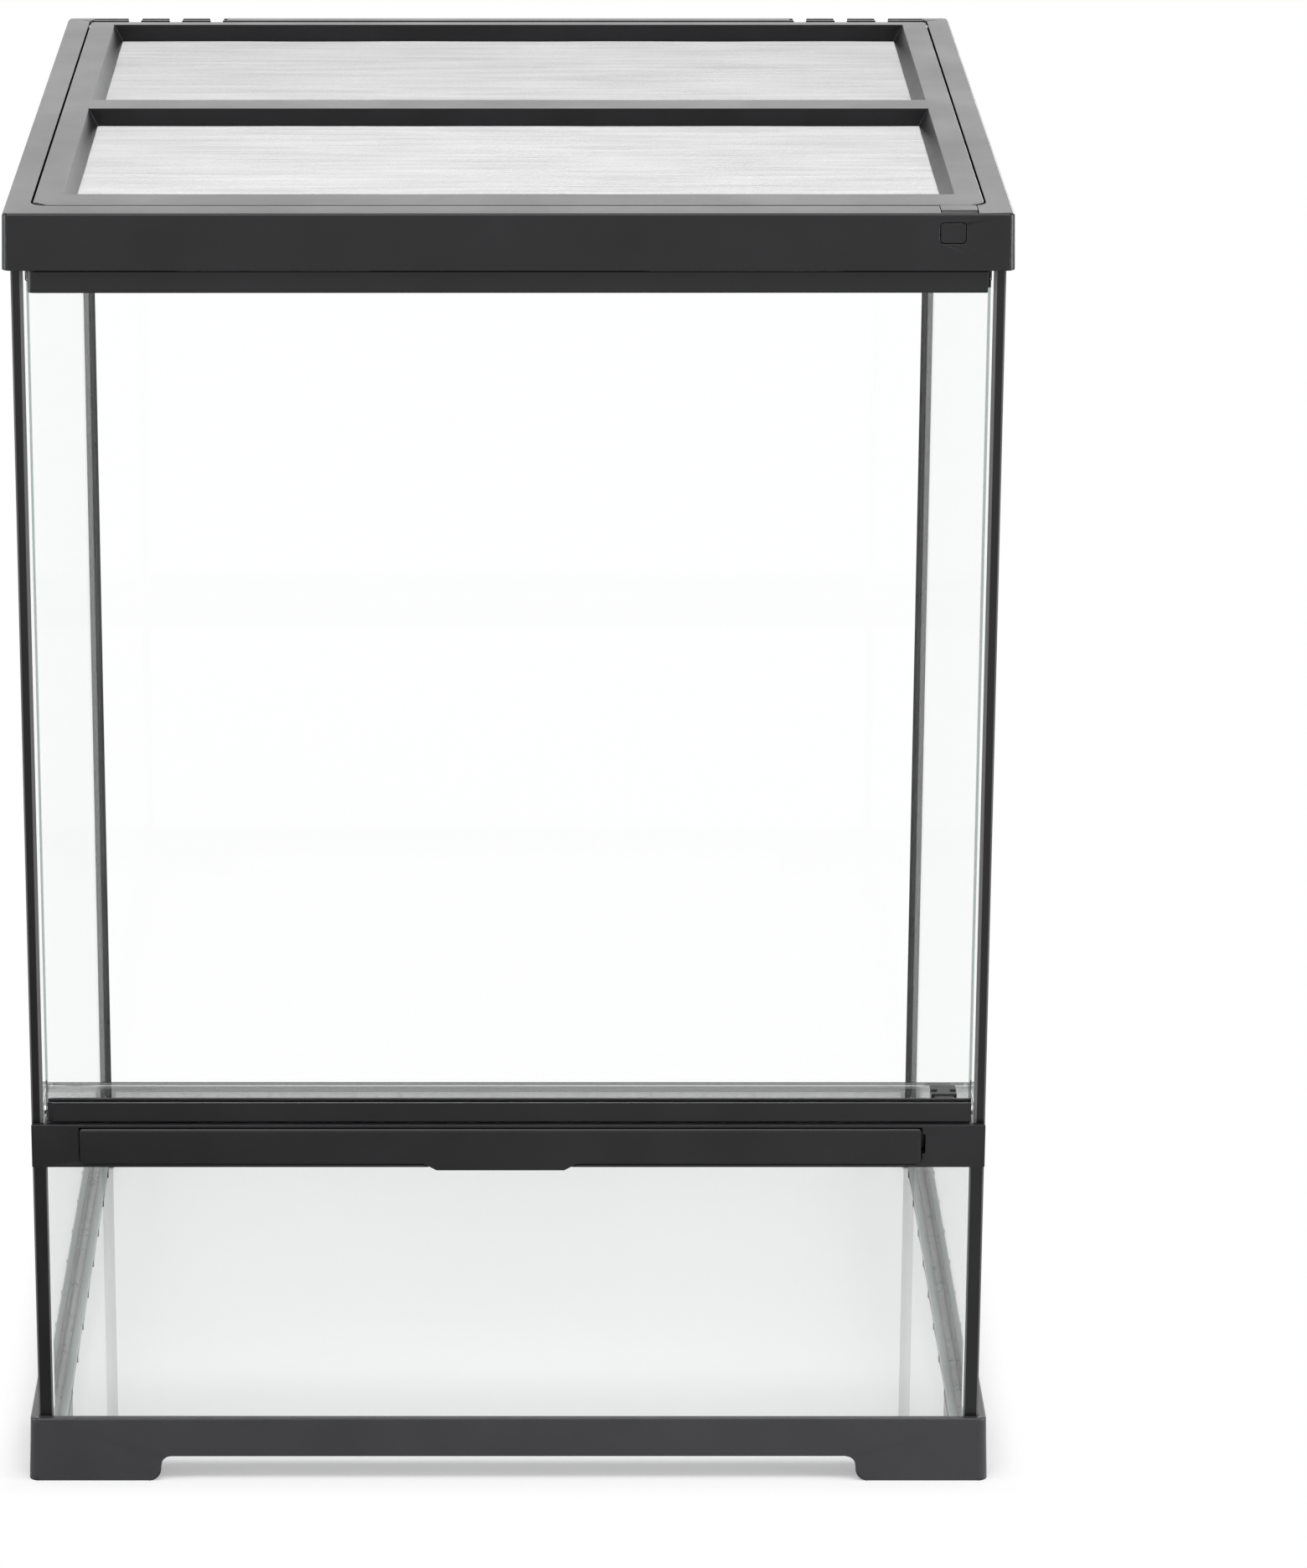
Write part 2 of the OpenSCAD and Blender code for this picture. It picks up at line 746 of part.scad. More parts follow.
// Cuts for one side's cable ports
module port_cuts() {
  for (i = [0 : ports - 1]) translate([port_x0 + i * port_pitch, 0, 0]) {
    translate([0, 0, total_h - port_h]) linear_extrude(height = port_h + over)
      polygon([
        [-port_w / 2 + 0.5, open_y1 - over], [port_w / 2 - 0.5, open_y1 - over],
        [port_w / 2 + 0.3, frame_back + over], [-port_w / 2 - 0.3, frame_back + over]
      ]);
    block([-port_w / 2, open_y1 - seat_w - 3 * over, seat_top - seat_t - over],
          [port_w / 2, in_d - seat_gap - flange_t - over, seat_top + over]);
  }
  block([port_x0 - tooth_w / 2 - 2 * play, groove_y, groove_z],
        [port_x1 + tooth_w / 2 + 2 * nub_w / 2 + slide_travel + 3 * play,
         groove_y + groove_w, total_h + over]);
}

module top_frame() {
  wall_in = open_y0 - roof_t;
  stop_y = door_y + rail_t / 2 + 2 * play;
  light_end = half_w - light_inset;
  flange_x = in_w - seat_gap;
  flange_y = in_d - seat_gap;
  pocket_z = button_z;
  color(plastic) difference() {
    union() {
      // Drafted outer wall
      wall_round_tank() polygon([
        [seat_gap, top_z], [lip, top_z], [lip_top + 0.3, total_h - 1.2],
        [lip_top - 0.2, total_h - 0.4], [lip_top - 0.8, total_h], [seat_gap, total_h]
      ]);
      // Rim over the panes at the sides and back
      difference() {
        translate([0, 0, web_z]) linear_extrude(height = total_h - web_z) rim_plan();
        block([-in_w + seat_gap, -half_d - 3 * over, web_z - over],
              [in_w - seat_gap, wall_in, total_h - roof_t]);
      }
      // Flange inside the panes, and the seat that the lid lies on
      difference() {
        flat_ring(flange_x, flange_y, flange_x - flange_t, flange_y - flange_t,
                  pane_top - flange_h, web_z + over / 2 - pane_top + flange_h);
        block([-half_w, -half_d, top_z], [half_w, wall_in, total_h]);
      }
      difference() {
        translate([0, 0, seat_top - seat_t]) linear_extrude(height = seat_t) difference() {
          square([2 * flange_x, 2 * flange_y], center = true);
          translate([0, (open_y0 + open_y1) / 2])
            square([2 * (open_x - seat_w), open_y1 - open_y0 - 2 * seat_w - 2 * over],
                   center = true);
        }
        block([-half_w, -half_d, top_z], [half_w, wall_in, total_h]);
      }
      // Back wall of the hollow front rail, and the door stop in front of it
      block([-flange_x, wall_in, top_z], [flange_x, open_y0, total_h - roof_t + over / 2]);
      block([-body_x, stop_y, top_z - stop_drop], [body_x, stop_y + stop_t, top_z + stop_drop]);
      block([-body_x, stop_y, top_z], [body_x, wall_in + over, top_z + 2]);
      // Boss round the door's upper pin
      translate([door_pin_x, door_y, top_z])
        cylinder(h = pin_reach + play + 3, r = pin_r + 2.6);
      block([door_pin_x - 1.5, -half_d - seat_gap - over, top_z],
            [door_pin_x + 1.5, door_y - pin_r - 1, top_z + pin_reach + play + 3]);
      // Collar that guides the lock button
      block([button_x - button_w / 2 - 1.5, -half_d - seat_gap - over, pocket_z - button_h / 2 - 1.5],
            [button_x + button_w / 2 + 1.5, button_front + button_d - play,
             pocket_z + button_h / 2 + 1.3]);
    }
    // Gaps in the door stop
    for (s = [0, 1]) mirror([s, 0, 0])
      block([light_start, stop_y - over, top_z - stop_drop - over],
            [light_end, open_y0 + over, top_z + light_h]);
    // Hole for the door's upper pin
    translate([door_pin_x, door_y, top_z - over])
      cylinder(h = pin_reach + play + over, r = bore_r);
    // Holes for the lid's hinge pins
    for (s = [0, 1]) mirror([s, 0, 0])
      rod_x(open_x - over, open_x + lid_pin_reach + play, hinge_y, hinge_z, bore_r);
    // Hole for the lock button
    along_y(frame_front - 3 * over, button_front + button_d + over)
      translate([button_x, button_z])
        round_rect(button_w + 2 * play, button_h + 2 * play, button_r + play);
    // Slot that the hasp lies in, with room for a finger in front of it
    block([hasp_x - hasp_w / 2 - play, frame_front + finger_edge, total_h - hasp_t - play],
          [hasp_x + hasp_w / 2 + play, open_y0 + over, total_h + over]);
    for (s = [0, 1]) mirror([s, 0, 0]) port_cuts();
  }
}

// ---------------------------------------------------------------- lid

// One window, from the top of the lid down to the mesh, with a rebate for the mesh below
module lid_window(y0, y1) {
  slope = lid_slope / mesh_drop;
  top_x = win_x + slope * over;
  along_y(y0, y1) polygon([
    [-mesh_x, mesh_top - over], [mesh_x, mesh_top - over], [mesh_x, mesh_top],
    [top_x, total_h + over], [-top_x, total_h + over], [-mesh_x, mesh_top]
  ]);
  lap = mesh_lap + play;
  block([-mesh_x - lap, y0 - lap, lid_z - over], [mesh_x + lap, y1 + lap, mesh_top]);
}

// Hollow underside between two Y positions, with cross ribs
module ribbed_pocket(y0, y1) {
  half = mesh_x - lid_wall;
  bays = floor(2 * half / lid_rib_pitch);
  bay = 2 * half / bays;
  for (i = [0 : bays - 1])
    block([-half + i * bay + lid_wall / 2, y0, lid_z - over],
          [-half + (i + 1) * bay - lid_wall / 2, y1, total_h - lid_wall]);
}

module lid_frame() {
  lap = mesh_lap + play;
  color(plastic) difference() {
    union() {
      translate([0, 0, lid_z]) linear_extrude(height = lid_t) intersection() {
        translate([0, (lid_y0 + lid_y1) / 2]) round_rect(2 * lid_x, lid_y1 - lid_y0, lid_r);
        translate([-lid_x, lid_y0]) square([2 * lid_x, hinge_y - lid_y0]);
      }
      translate([0, hinge_y, hinge_z]) rotate([0, 90, 0]) rotate_extrude() intersection() {
        translate([0, -lid_x]) square([hinge_r, 2 * lid_x]);
        round_rect(2 * hinge_r, 2 * lid_x, back_r - seam);
      }
    }
    lid_window(front_y0, front_y1);
    lid_window(rear_y0, rear_y1);
    ribbed_pocket(lid_y0 + lid_wall, front_y0 - lap - lid_wall);
    ribbed_pocket(front_y1 + lap + lid_wall, rear_y0 - lap - lid_wall);
    // Relief for cables below the back edge
    for (s = [0, 1], i = [0 : ports - 1]) mirror([s, 0, 0])
      block([port_x0 + i * port_pitch - port_w / 2, rear_y1 + lap, lid_z - over],
            [port_x0 + i * port_pitch + port_w / 2, lid_y1 + over, lid_z + lid_t / 2]);
    // Seats for the hinge pins
    for (s = [0, 1]) mirror([s, 0, 0])
      rod_x(lid_x - 2 * lid_pin_reach, lid_x + over, hinge_y, hinge_z, seat_r);
  }
}

// Mesh under one window: a coarse grid, about as open as the fine weave that it stands for
module mesh_panel(y0, y1) {
  long = 2 * mesh_x;
  wide = y1 - y0;
  rows = round(mesh_cells * wide / long);
  step = [long / mesh_cells, wide / rows];
  color(steel) translate([0, (y0 + y1) / 2, mesh_z]) linear_extrude(height = mesh_t) difference() {
    square([long + 2 * mesh_lap, wide + 2 * mesh_lap], center = true);
    for (i = [0 : mesh_cells - 1], j = [0 : rows - 1])
      translate([(i - (mesh_cells - 1) / 2) * step[0], (j - (rows - 1) / 2) * step[1]])
        square(step * sqrt(mesh_open), center = true);
  }
}

// Frame that clamps a mesh sheet from below
module retainer(y0, y1) {
  color(plastic) translate([0, (y0 + y1) / 2, lid_z]) linear_extrude(height = mesh_z - lid_z)
    difference() {
      square([2 * (mesh_x + mesh_lap), y1 - y0 + 2 * mesh_lap], center = true);
      square([2 * mesh_x, y1 - y0], center = true);
    }
}

module front_mesh() {
  mesh_panel(front_y0, front_y1);
}

module rear_mesh() {
  mesh_panel(rear_y0, rear_y1);
}

module front_mesh_retainer() {
  retainer(front_y0, front_y1);
}

module rear_mesh_retainer() {
  retainer(rear_y0, rear_y1);
}

module lid_hinge_pins() {
  color(steel) for (s = [0, 1]) mirror([s, 0, 0])
    rod_x(lid_x - 2 * lid_pin_reach + seat_gap, open_x + lid_pin_reach, hinge_y, hinge_z, pin_r);
}

// Tongue on the lid's front edge, with the leg that the button locks
module lid_hasp() {
  color(plastic) {
    along_x(hasp_x - hasp_w / 2, hasp_x + hasp_w / 2) polygon([
      [hasp_y, total_h - hasp_t], [lid_y0, total_h - hasp_t], [lid_y0, total_h],
      [hasp_y + hasp_bevel, total_h], [hasp_y, total_h - hasp_bevel]
    ]);
    block([hasp_x - hasp_w / 2 + 2, hasp_y, total_h - hasp_t - leg_len],
          [hasp_x + hasp_w / 2 - 2, hasp_y + leg_t, total_h - hasp_t / 2]);
  }
}

module lid_lock_button() {
  color(plastic) along_y(button_front, button_front + button_d)
    translate([button_x, button_z]) round_rect(button_w, button_h, button_r);
}

// ---------------------------------------------------------------- cable port sliders

module port_slider() {
  y0 = groove_y + play;
  z0 = groove_z + play;
  nub_x = port_x1 + tooth_w / 2;
  color(plastic) {
    block([port_x0 - tooth_w / 2, y0, z0], [nub_x + nub_w, y0 + slider_t, z0 + strip_h]);
    for (i = [0 : ports - 1]) translate([port_x0 + i * port_pitch, 0, 0])
      block([-tooth_w / 2, y0, z0], [tooth_w / 2, y0 + slider_t, total_h - tooth_low]);
    block([nub_x, y0, z0], [nub_x + nub_w, y0 + slider_t, total_h - play]);
  }
}

module left_port_slider() {
  mirror([1, 0, 0]) port_slider();
}

module right_port_slider() {
  port_slider();
}

// ---------------------------------------------------------------- assembly

base_frame();
floor_glass();
back_glass();
left_glass();
right_glass();
lower_front_glass();
glass_ledge();
front_bar();
top_frame();
left_front_bead();
right_front_bead();
left_back_bead();
right_back_bead();
floor_beads();
door_catch();
door_glass();
door_top_rail();
door_bottom_rail();
door_hinge_pins();
door_striker();
latch_flap();
lid_frame();
front_mesh();
rear_mesh();
front_mesh_retainer();
rear_mesh_retainer();
lid_hinge_pins();
lid_hasp();
lid_lock_button();
left_port_slider();
right_port_slider();
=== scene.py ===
"""Looks of a front-opening glass terrarium with a hinged screen lid, around its CAD model."""

import math
import random

import bmesh
import bpy
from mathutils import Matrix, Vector


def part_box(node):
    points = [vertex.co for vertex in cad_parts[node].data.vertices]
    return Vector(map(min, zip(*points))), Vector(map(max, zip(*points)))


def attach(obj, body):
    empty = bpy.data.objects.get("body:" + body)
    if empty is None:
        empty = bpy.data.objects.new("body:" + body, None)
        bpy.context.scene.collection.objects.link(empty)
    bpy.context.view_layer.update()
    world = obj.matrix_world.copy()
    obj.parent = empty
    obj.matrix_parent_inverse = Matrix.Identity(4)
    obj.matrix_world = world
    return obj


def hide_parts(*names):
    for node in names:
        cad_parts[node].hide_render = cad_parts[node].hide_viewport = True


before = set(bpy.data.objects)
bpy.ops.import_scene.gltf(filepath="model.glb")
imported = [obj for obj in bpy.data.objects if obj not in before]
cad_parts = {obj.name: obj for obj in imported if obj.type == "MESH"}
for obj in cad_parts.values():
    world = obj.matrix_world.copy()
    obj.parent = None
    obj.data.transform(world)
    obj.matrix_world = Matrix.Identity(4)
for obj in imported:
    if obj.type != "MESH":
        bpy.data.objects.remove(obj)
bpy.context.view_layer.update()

MM = 0.001

# Camera: a long lens from the front, above the lid, shifted so that the tank stands at the left
CAMERA_PLACE = Vector((0, -2.976, 1.242))
CAMERA_PITCH = math.radians(18.0)
CAMERA_LENS = 144.3
CAMERA_SHIFT = 0.0926

# Floor. Between FLOOR_NEAR and FLOOR_FAR from the middle planes it turns from shaded to white.
FLOOR_RADIUS = 40
FLOOR_NEAR = 0.227
FLOOR_FAR = 0.25
FLOOR_GLOW = 0.34
FLOOR_SHADE = 0.5
FLOOR_PLAIN = 0.8

# Painted reflection: the floor in front of the tank glows for the fronts' reflections only, dim at
# the left and bright at the right, which paints the fronts darker at the left
MIRROR_DIM = 0.35
MIRROR_REACH = 0.35
MIRROR_START = -1.5
MIRROR_RAMP = 0.6
MIRROR_END = -0.2

# World, and lamps as name, place, target, width, height and radiance
WORLD_FILL = 0.42
TANK_MIDDLE = (0, 0, 0.35)
TANK_TOP = (0, 0, 0.6)
LAMPS = (
    ("overhead", (0, -1.2, 2.8), TANK_MIDDLE, 2.4, 0.9, 7.0),
    ("left_wall", (-1.9, -0.6, 0.75), TANK_MIDDLE, 0.8, 1.4, 6.5),
    ("right_wall", (1.9, -0.6, 0.75), TANK_MIDDLE, 0.8, 1.4, 9.0),
    ("back_wall", (0, 4.2, 2.0), TANK_TOP, 6.0, 2.2, 0.75),
    ("back_right", (1.6, 3.9, 0.95), TANK_TOP, 1.4, 1.1, 3.0),
)

# Black plastic
PLASTIC_IOR = 1.38
PLASTIC_GLOSS = (0.285, 0.35)
GRAIN_DEPTH = 0.04 * MM

# Glass. Its index is low, so that it mirrors as little as in the photo's cleaned background.
GLASS_GREEN = (0.62, 0.9, 0.8, 1)
GLASS_DENSITY = 2.5
SIDE_IOR = 1.42
FRONT_IOR = 1.2
GROUND_GLASS = (0.42, 0.47, 0.45, 1)
DOOR_GROUND = 215.6 * MM

# Sealant, and a pale band painted on top of the base frame's ledge under the floor pane, out to
# the panes' channel
SEALANT_IOR = 1.41
WAVE_DEPTH = 0.4 * MM
LEDGE_BAND_COLOUR = (0.50, 0.54, 0.52, 1)
LEDGE_BAND_HALF = 0.2 * MM
LEDGE_Z = 17 * MM
CHANNEL = 218.6 * MM

# Painted highlights: paler lines along the edges of the front strips, below and above the
# underside of the bar
HIGHLIGHT_GREY = 0.11
HIGHLIGHT_RAMP = 0.3 * MM
HIGHLIGHT_LOW = 217.3 * MM
HIGHLIGHT_HIGH = 219.5 * MM
HIGHLIGHT_OUTER = 222.8 * MM
BAR_Z = 165 * MM

# Edges of mouldings and panes: the size of the round or chamfer, and the shortest edge that has it
EDGE_ANGLE = math.radians(40)
WELD_GAP = 2e-6
BOLD_ROUND = 0.5 * MM
FINE_ROUND = 0.3 * MM
PANE_CHAMFER = 0.4 * MM
LONG_EDGE = 1.2 * MM
SHORT_EDGE = 0.5 * MM

# Depth of the turning marks on the pins
MARK_DEPTH = 0.05 * MM

# Woven wire of the lid's screens
WIRE_PITCH = 1.25 * MM
WIRE_R = 0.15 * MM
WIRE_SPAN = 32 * MM
WIRE_WANDER = 0.05 * MM
LAYER_GAP = 0.9 * WIRE_R
SHEET_SAG = 0.12 * MM
SAG_WAVES = ((61, 1.3), (83, 0.4))


# ---------------------------------------------------------------- node trees


def node(tree, kind, inputs=(), **settings):
    """Adds a node. An input's value is a constant, or another node's output."""
    made = tree.nodes.new(kind)
    for key, value in settings.items():
        setattr(made, key, value)
    for socket, value in dict(inputs).items():
        if isinstance(value, bpy.types.NodeSocket):
            tree.links.new(value, made.inputs[socket])
        else:
            made.inputs[socket].default_value = value
    return made


def add(tree, kind, inputs=(), **settings):
    """Adds a shader node. kind is the rest of its type's name."""
    return node(tree, "ShaderNode" + kind, inputs, **settings)


def new_material(name):
    """A material without nodes, and its node tree."""
    material = bpy.data.materials.new(name)
    material.use_nodes = True
    material.node_tree.nodes.clear()
    return material, material.node_tree


def grey(value):
    return (value, value, value, 1)


def black(value):
    """A dark grey with the slight blue of carbon-black plastic."""
    return (value, value, 1.12 * value, 1)


def noise(tree, scale, detail=3, stretch=None):
    """Noise in the shared frame. scale is in cells per metre, and stretch scales each axis."""
    place = add(tree, "TexCoord").outputs["Object"]
    if stretch:
        place = add(tree, "Mapping", {"Vector": place, "Scale": stretch}).outputs[0]
    made = add(tree, "TexNoise", {"Vector": place, "Scale": scale, "Detail": detail})
    return made.outputs["Fac"]


def remap(tree, value, low, high, start=0.3, end=0.7):
    """Maps a value between start and end to a value between low and high."""
    return add(tree, "MapRange", {
        "Value": value, "From Min": start, "From Max": end, "To Min": low, "To Max": high,
    }).outputs[0]


def coordinates(tree):
    """X, Y and Z in the shared frame."""
    return add(tree, "SeparateXYZ", {0: add(tree, "TexCoord").outputs["Object"]}).outputs


def axis_distances(tree):
    """How far a point is from the middle plane along X and along Y, and its height."""
    parts = coordinates(tree)
    away = [add(tree, "Math", {0: parts[i]}, operation="ABSOLUTE").outputs[0] for i in (0, 1)]
    return away[0], away[1], parts[2]


def step(tree, value, at, rising=True, over=0.1 * MM):
    """0 on one side of a place and 1 on the other, with a short ramp between them."""
    ends = (0, 1) if rising else (1, 0)
    return remap(tree, value, *ends, start=at - over / 2, end=at + over / 2)


def both(tree, *values):
    """The product of masks."""
    result = values[0]
    for value in values[1:]:
        result = add(tree, "Math", {0: result, 1: value}, operation="MULTIPLY").outputs[0]
    return result


def either(tree, first, second):
    """The larger of two values."""
    return add(tree, "Math", {0: first, 1: second}, operation="MAXIMUM").outputs[0]


def blend_colour(tree, factor, first, second):
    """first where the factor is 0, and second where it is 1."""
    return add(tree, "Mix", {0: factor, 6: first, 7: second}, data_type="RGBA").outputs[2]


# ---------------------------------------------------------------- materials


def ledge_pale_band(tree, colour):
    """A pale band painted on top of the base frame's ledge, under the floor pane."""
    x, y, z = axis_distances(tree)
    mask = both(tree, step(tree, x, CHANNEL, rising=False), step(tree, y, CHANNEL, rising=False),
                step(tree, z, LEDGE_Z - LEDGE_BAND_HALF), step(tree, z, LEDGE_Z + LEDGE_BAND_HALF, rising=False))
    return blend_colour(tree, mask, colour, LEDGE_BAND_COLOUR)


def moulded_plastic(name, dark, light, grain, ledge_banded=False):
    """Black moulded plastic: a fine spark-eroded grain, and faint patches in colour and gloss."""
    material, tree = new_material(name)
    cloud = noise(tree, 22, detail=4)
    fine = noise(tree, 2600, detail=2)
    coarse = noise(tree, 700, detail=2)
    grains = add(tree, "Math", {0: fine, 1: coarse}, operation="ADD").outputs[0]
    bump = add(tree, "Bump", {"Height": grains, "Strength": grain, "Distance": GRAIN_DEPTH})
    colour = blend_colour(tree, remap(tree, cloud, 0, 1), dark, light)
    # a pale band painted on top of the ledge, under the floor pane
    if ledge_banded:
        colour = ledge_pale_band(tree, colour)
    shader = add(tree, "BsdfPrincipled", {
        "Base Color": colour,
        "Roughness": remap(tree, cloud, *PLASTIC_GLOSS),
        "IOR": PLASTIC_IOR,
        "Normal": bump.outputs[0],
    })
    add(tree, "OutputMaterial", {"Surface": shader.outputs[0]})
    return material


def float_glass(name, ior, ends=None):
    """Clear float glass. Lamps shine through it, and long ways through it turn green.

    ends is where the ground end faces begin, as a distance from the middle plane along X.
    """
    material, tree = new_material(name)
    colour = grey(1)
    if ends:
        ground = step(tree, axis_distances(tree)[0], ends)
        colour = blend_colour(tree, ground, grey(1), GROUND_GLASS)
    ray = add(tree, "LightPath").outputs
    soft = either(tree, ray["Is Shadow Ray"], ray["Is Diffuse Ray"])
    solid = add(tree, "BsdfPrincipled", {
        "Base Color": colour,
        "Roughness": 0.0,
        "IOR": ior,
        "Transmission Weight": 1.0,
    })
    open_way = add(tree, "BsdfTransparent", {"Color": grey(0.97)})
    mix = add(tree, "MixShader", {0: soft, 1: solid.outputs[0], 2: open_way.outputs[0]})
    volume = add(tree, "VolumeAbsorption", {"Color": GLASS_GREEN, "Density": GLASS_DENSITY})
    add(tree, "OutputMaterial", {"Surface": mix.outputs[0], "Volume": volume.outputs[0]})
    return material


def strip_edge_highlights(tree, colour):
    """Painted highlights: thin, paler lines along the edges of the front corners' strips."""
    x, _, z = axis_distances(tree)
    low = both(tree, step(tree, x, HIGHLIGHT_LOW, rising=False, over=HIGHLIGHT_RAMP),
               step(tree, z, BAR_Z, rising=False))
    high = both(tree, step(tree, x, HIGHLIGHT_HIGH, rising=False, over=HIGHLIGHT_RAMP),
                step(tree, z, BAR_Z))
    outer = step(tree, x, HIGHLIGHT_OUTER, over=HIGHLIGHT_RAMP)
    highlight_mask = either(tree, outer, either(tree, low, high))
    return blend_colour(tree, highlight_mask, colour, grey(HIGHLIGHT_GREY))


def silicone(name, value, wave_scale=90, wave_height=0.35, edge_highlights=False):
    """Cured sealant: soft gloss with slow waves from the smoothing tool."""
    material, tree = new_material(name)
    waves = noise(tree, wave_scale, detail=3, stretch=(1, 1, 0.35))
    bump = add(tree, "Bump", {"Height": waves, "Strength": wave_height, "Distance": WAVE_DEPTH})
    shade = blend_colour(tree, remap(tree, waves, 0, 1), grey(value), grey(1.5 * value))
    # painted highlights: paler lines along the front strips' edges
    if edge_highlights:
        shade = strip_edge_highlights(tree, shade)
    shader = add(tree, "BsdfPrincipled", {
        "Base Color": shade,
        "Roughness": remap(tree, waves, 0.26, 0.4),
        "IOR": SEALANT_IOR,
        "Normal": bump.outputs[0],
    })
    add(tree, "OutputMaterial", {"Surface": shader.outputs[0]})
    return material


def drawn_wire(name):
    """Bright steel wire with the fine streaks of the drawing die, and tones that change by row."""
    material, tree = new_material(name)
    streak = noise(tree, 900, detail=3)
    rows = noise(tree, 150, detail=2, stretch=(0.08, 1, 1))
    tone = add(tree, "Math", {0: streak, 1: rows}, operation="ADD").outputs[0]
    shader = add(tree, "BsdfPrincipled", {
        "Base Color": blend_colour(tree, remap(tree, tone, 0, 1, start=0.75, end=1.25),
                                   grey(0.37), grey(0.45)),
        "Metallic": 1.0,
        "Roughness": remap(tree, streak, 0.42, 0.54),
    })
    add(tree, "OutputMaterial", {"Surface": shader.outputs[0]})
    return material


def turned_steel(name):
    """Steel pin with turning marks round its axis."""
    material, tree = new_material(name)
    marks = noise(tree, 1500, detail=2)
    bump = add(tree, "Bump", {"Height": marks, "Strength": 0.2, "Distance": MARK_DEPTH})
    shader = add(tree, "BsdfPrincipled", {
        "Base Color": grey(0.55),
        "Metallic": 1.0,
        "Roughness": remap(tree, marks, 0.25, 0.4),
        "Normal": bump.outputs[0],
    })
    add(tree, "OutputMaterial", {"Surface": shader.outputs[0]})
    return material


def seen_ray(tree):
    """1 for rays that show the surface: to the camera, in a reflection or through glass."""
    ray = add(tree, "LightPath").outputs
    seen = either(tree, ray["Is Camera Ray"], ray["Is Glossy Ray"])
    return either(tree, seen, ray["Is Transmission Ray"])


def shown_floor(tree):
    """The floor as it is seen: shaded at the tank, where it keeps its shadow, then white."""
    x, y, _ = axis_distances(tree)
    far = add(tree, "MapRange", {
        "Value": either(tree, x, y), "From Min": FLOOR_NEAR, "From Max": FLOOR_FAR,
    }, interpolation_type="SMOOTHSTEP").outputs[0]
    glow = add(tree, "Emission", {"Color": grey(FLOOR_GLOW), "Strength": 1.0})
    lit = add(tree, "BsdfDiffuse", {"Color": grey(FLOOR_SHADE)})
    near = add(tree, "AddShader", {0: glow.outputs[0], 1: lit.outputs[0]})
    white = add(tree, "Emission", {"Color": grey(1), "Strength": 1.0})
    return add(tree, "MixShader", {0: far, 1: near.outputs[0], 2: white.outputs[0]}).outputs[0]


def painted_floor_reflection(tree):
    """Painted reflection: the floor ahead of the tank glows for the fronts' reflections only, dim
    at the left and bright at the right; also a mask of the rays that see it.
    """
    x, y, _ = coordinates(tree)
    slope = remap(tree, x, MIRROR_DIM, 1, start=-MIRROR_REACH, end=MIRROR_REACH)
    ahead = both(tree, step(tree, y, MIRROR_START, over=MIRROR_RAMP),
                 step(tree, y, MIRROR_END, rising=False))
    level = blend_colour(tree, ahead, grey(1), blend_colour(tree, slope, grey(0), grey(1)))
    reflection_glow = add(tree, "Emission", {"Color": level, "Strength": 1.0}).outputs[0]
    ray = add(tree, "LightPath").outputs
    direct = add(tree, "Math", {0: 1.0, 1: ray["Is Transmission Ray"]}, operation="SUBTRACT")
    return reflection_glow, both(tree, ray["Is Glossy Ray"], direct.outputs[0], ahead)


def floor_material():
    """Pale floor, plain for the light that it gives back to the tank."""
    material, tree = new_material("studio_floor")
    plain = add(tree, "BsdfDiffuse", {"Color": grey(FLOOR_PLAIN)})
    seen = add(tree, "MixShader", {0: seen_ray(tree), 1: plain.outputs[0], 2: shown_floor(tree)})
    # painted reflection: the floor ahead glows for glossy rays only, dim at the left and bright at
    # the right
    reflection_glow, reflection_mask = painted_floor_reflection(tree)
    surface = add(tree, "MixShader", {0: reflection_mask, 1: seen.outputs[0], 2: reflection_glow})
    add(tree, "OutputMaterial", {"Surface": surface.outputs[0]})
    return material


# ---------------------------------------------------------------- studio


def make_camera():
    """The photo's viewpoint."""
    data = bpy.data.cameras.new("camera")
    data.lens = CAMERA_LENS
    data.shift_x = CAMERA_SHIFT
    camera = bpy.data.objects.new("camera", data)
    camera.location = CAMERA_PLACE
    camera.rotation_euler = (math.pi / 2 - CAMERA_PITCH, 0, 0)
    bpy.context.scene.collection.objects.link(camera)
    bpy.context.scene.camera = camera


def make_world():
    """White where it is seen, and a plain fill light otherwise."""
    world = bpy.data.worlds.new("studio")
    world.use_nodes = True
    tree = world.node_tree
    tree.nodes.clear()
    fill = add(tree, "Background", {"Color": grey(1), "Strength": WORLD_FILL})
    white = add(tree, "Background", {"Color": grey(1), "Strength": 1.0})
    mix = add(tree, "MixShader", {0: seen_ray(tree), 1: fill.outputs[0], 2: white.outputs[0]})
    add(tree, "OutputWorld", {"Surface": mix.outputs[0]})
    bpy.context.scene.world = world


def softbox(name, place, target, width, height, radiance):
    """Area lamp that shows in reflections, and not to the camera or through glass."""
    data = bpy.data.lights.new(name, "AREA")
    data.shape = "RECTANGLE"
    data.size, data.size_y = width, height
    data.energy = radiance * math.pi * width * height
    lamp = bpy.data.objects.new(name, data)
    lamp.location = place
    lamp.rotation_euler = (Vector(target) - Vector(place)).to_track_quat("-Z", "Y").to_euler()
    lamp.visible_camera = False
    lamp.visible_transmission = False
    bpy.context.scene.collection.objects.link(lamp)


def make_floor():
    """A round floor at the tank's feet."""
    bm = bmesh.new()
    bmesh.ops.create_circle(bm, cap_ends=True, segments=96, radius=FLOOR_RADIUS)
    floor = new_piece("floor", bm, floor_material())


# ---------------------------------------------------------------- pieces


